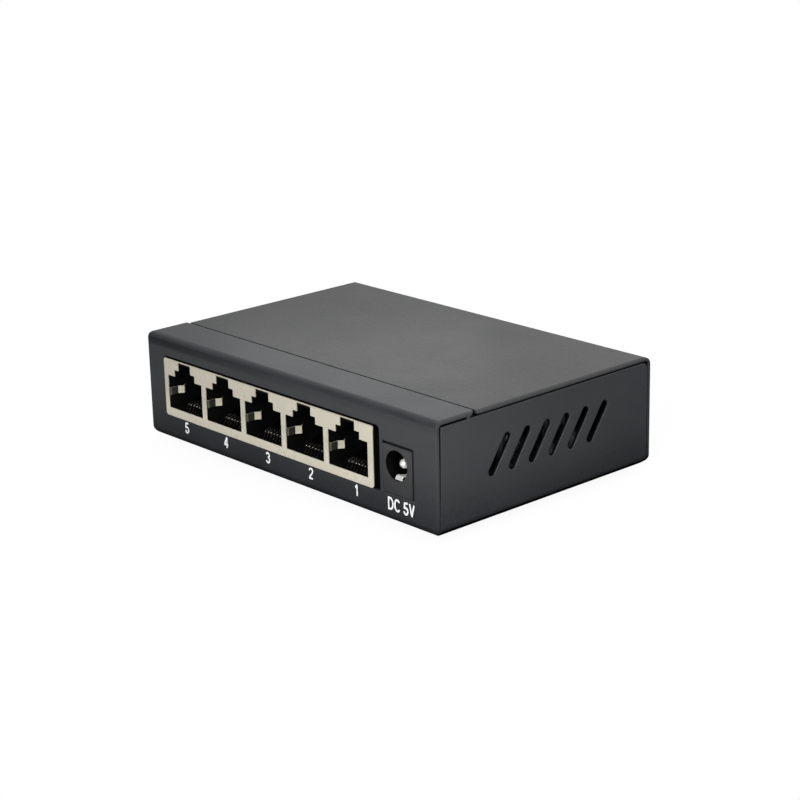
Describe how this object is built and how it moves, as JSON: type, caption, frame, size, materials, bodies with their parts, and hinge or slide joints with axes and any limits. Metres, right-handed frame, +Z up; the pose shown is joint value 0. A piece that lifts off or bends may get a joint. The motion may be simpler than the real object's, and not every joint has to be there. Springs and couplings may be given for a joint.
{
  "type": "desktop network switch",
  "caption": "Small desktop Ethernet switch in a folded sheet-metal case with a row of RJ45 ports, a DC power jack and slanted side vents.",
  "frame": {"origin": "centre of the bounding box's footprint, on the desk plane under the rubber feet", "axes": "+X to the right seen from the port side, -Y out of the port wall, +Z up"},
  "size_m": [0.096, 0.0658, 0.0261],
  "materials": {
    "powder_coat_case": "fine textured black powder coat",
    "powder_coat_cover": "fine textured black powder coat",
    "black_screw": "black zinc",
    "rubber_feet": "matte",
    "board": "green solder mask on glass-fibre laminate",
    "standoff_steel": "zinc plated",
    "board_screw": "zinc plated",
    "shield_tin": "satin tin-nickel plating with a warm tone",
    "housing_black": "black moulded insulator",
    "contact_gold": "gold plated",
    "tail_tin": "tin plated",
    "dc_black": "black moulded, slightly glossy",
    "dc_metal": "nickel plated",
    "chip_black": "moulded chip body",
    "lead_tin": "tin plated",
    "can_steel": "drawn steel can",
    "can_aluminium": "bare aluminium can",
    "ferrite": "ferrite",
    "smd_ceramic": "ceramic chip parts",
    "led_epoxy": "tinted clear epoxy",
    "holder_white": "natural nylon"
  },
  "bodies": {
    "case": {"chassis": "powder_coat_case", "rubber_feet": "rubber_feet", "circuit_board": "board", "pcb_standoffs": "standoff_steel", "pcb_screws": "board_screw", "jack_shield": "shield_tin", "jack_housing": "housing_black", "contact_tails": "tail_tin", "dc_jack_body": "dc_black", "dc_jack_pin": "dc_metal", "dc_jack_terminals": "dc_metal", "switch_chip": "chip_black", "switch_chip_leads": "lead_tin", "lan_transformers": "chip_black", "transformer_leads": "lead_tin", "crystal": "can_steel", "capacitor_cans": "can_aluminium", "capacitor_bases": "housing_black", "power_inductor": "ferrite", "regulator_chip": "chip_black", "memory_chip": "chip_black", "small_chip_leads": "lead_tin", "input_diode": "chip_black", "smd_passives": "smd_ceramic", "indicator_leds": "led_epoxy", "led_leads": "lead_tin", "led_holder": "holder_white"},
    "cover": {"top_cover": "powder_coat_cover", "cover_screws": "black_screw"},
    "port_5_wires": {"port_5_contacts": "contact_gold"},
    "port_4_wires": {"port_4_contacts": "contact_gold"},
    "port_3_wires": {"port_3_contacts": "contact_gold"},
    "port_2_wires": {"port_2_contacts": "contact_gold"},
    "port_1_wires": {"port_1_contacts": "contact_gold"},
    "dc_leaf": {"dc_jack_spring": "dc_metal"}
  },
  "joints": [
    {"name": "cover_slide", "type": "slide", "parent": "case", "child": "cover", "axis": [0, 1, 0], "range_m": [0, 0.075]},
    {"name": "port_1_wire_flex", "type": "hinge", "parent": "case", "child": "port_1_wires", "pos_m": [0.02122, -0.02925, 0.00985], "axis": [-1, 0, 0], "range_deg": [0, 8], "stiffness_Nm_per_rad": 0.0003, "springref_deg": -2.86},
    {"name": "port_2_wire_flex", "type": "hinge", "parent": "case", "child": "port_2_wires", "pos_m": [0.00724, -0.02925, 0.00985], "axis": [-1, 0, 0], "range_deg": [0, 8], "stiffness_Nm_per_rad": 0.0003, "springref_deg": -2.86},
    {"name": "port_3_wire_flex", "type": "hinge", "parent": "case", "child": "port_3_wires", "pos_m": [-0.00673, -0.02925, 0.00985], "axis": [-1, 0, 0], "range_deg": [0, 8], "stiffness_Nm_per_rad": 0.0003, "springref_deg": -2.86},
    {"name": "port_4_wire_flex", "type": "hinge", "parent": "case", "child": "port_4_wires", "pos_m": [-0.0207, -0.02925, 0.00985], "axis": [-1, 0, 0], "range_deg": [0, 8], "stiffness_Nm_per_rad": 0.0003, "springref_deg": -2.86},
    {"name": "port_5_wire_flex", "type": "hinge", "parent": "case", "child": "port_5_wires", "pos_m": [-0.03467, -0.02925, 0.00985], "axis": [-1, 0, 0], "range_deg": [0, 8], "stiffness_Nm_per_rad": 0.0003, "springref_deg": -2.86},
    {"name": "dc_leaf_flex", "type": "hinge", "parent": "case", "child": "dc_leaf", "pos_m": [0.036, -0.02415, 0.01025], "axis": [1, 0, 0], "range_deg": [0, 5], "stiffness_Nm_per_rad": 0.0003, "springref_deg": -2.86}
  ]
}
